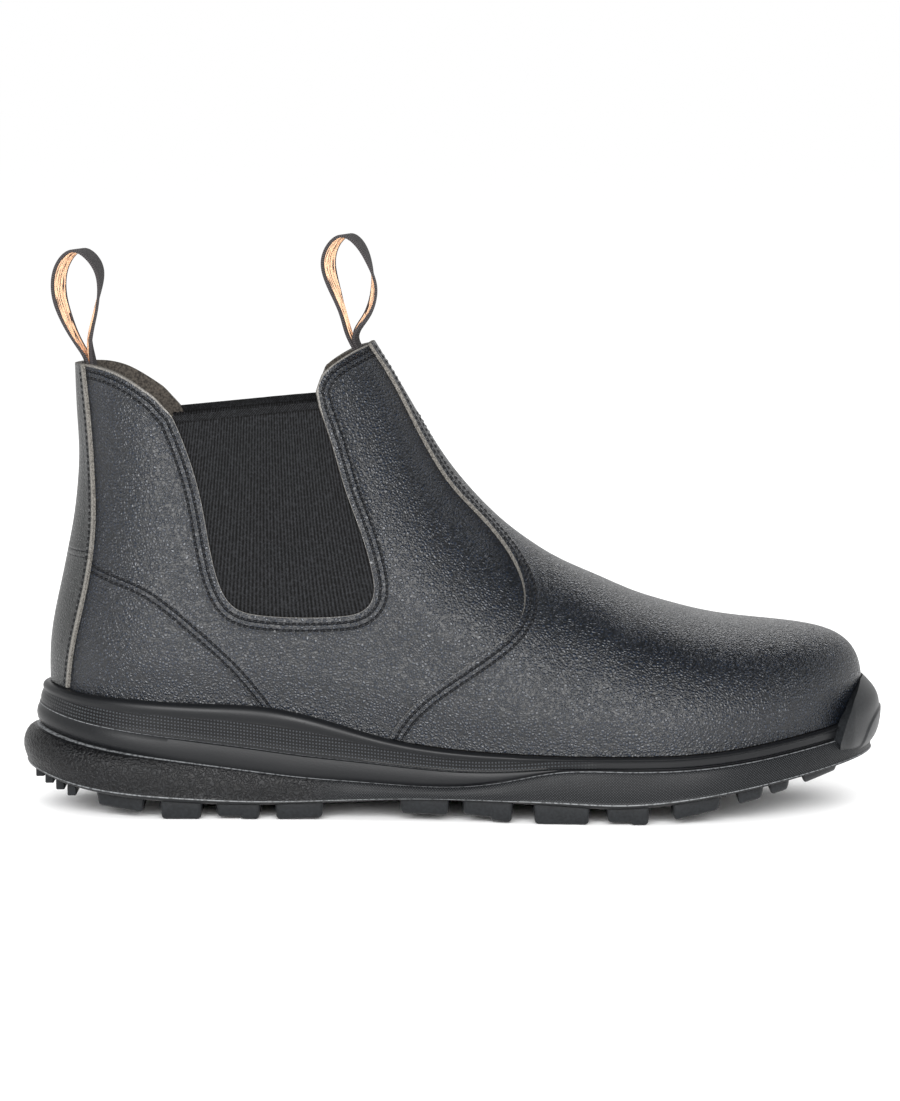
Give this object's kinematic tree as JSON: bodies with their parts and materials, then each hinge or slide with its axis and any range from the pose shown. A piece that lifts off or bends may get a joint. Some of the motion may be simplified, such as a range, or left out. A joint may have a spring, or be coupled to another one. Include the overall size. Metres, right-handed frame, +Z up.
{
  "type": "side gore work boot",
  "caption": "Ankle-high pull-on work boot with elastic side gores, a long vamp, pull loops at front and back, and a lugged two-part moulded sole.",
  "frame": {"origin": "on the floor under the middle of the heel, at the flat foot of the middle heel bar", "axes": "+X to the toe, +Y to the inner (medial) side, +Z up"},
  "size_m": [0.305, 0.108, 0.2029],
  "materials": {
    "outsole": "moulded nitrile rubber, matt, with a fine moulded texture on its side",
    "midsole": "moulded polyurethane, satin, with a rolled rim",
    "insole": "brushed footbed cloth",
    "leather": "black full-grain leather with a fine pebble and a soft sheen",
    "gore": "black ribbed elastic",
    "webbing": "woven tape, charcoal with a tan stripe"
  },
  "bodies": {
    "root": {"outsole": "outsole", "midsole": "midsole", "insole": "insole", "upper": "leather", "vamp": "leather", "backstay": "leather", "gore_lateral": "gore", "gore_medial": "gore", "pull_loop_rear": "webbing", "pull_loop_front": "webbing"}
  },
  "joints": []
}
